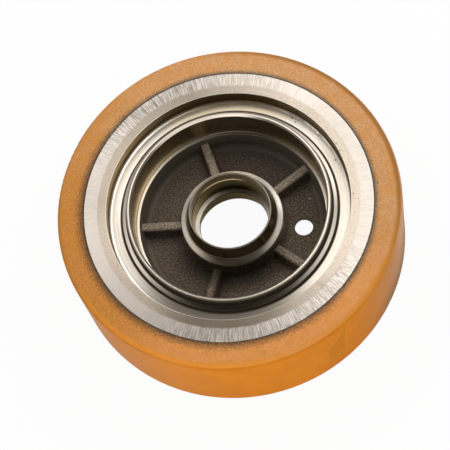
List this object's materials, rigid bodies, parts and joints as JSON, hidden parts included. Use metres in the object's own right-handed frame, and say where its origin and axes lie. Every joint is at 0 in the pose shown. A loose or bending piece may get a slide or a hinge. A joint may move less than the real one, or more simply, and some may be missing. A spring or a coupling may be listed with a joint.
{
  "type": "load wheel",
  "caption": "Forklift load wheel: an amber polyurethane tyre bonded to a cast hub with an open brake drum, a ribbed web and a bored boss for axle bearings.",
  "frame": {"origin": "centre of the wheel's back face, on the surface that the wheel lies on", "axes": "+Z along the wheel's axis, out of the brake drum side; +X and +Y across the wheel, one rib lying 2 degrees past +Y"},
  "size_m": [0.267, 0.267, 0.075],
  "materials": {
    "hub": "as cast web and ribs, turned bright faces",
    "tyre": "satin moulded polyurethane"
  },
  "bodies": {
    "root": {"hub": "hub", "tyre": "tyre"}
  },
  "joints": []
}
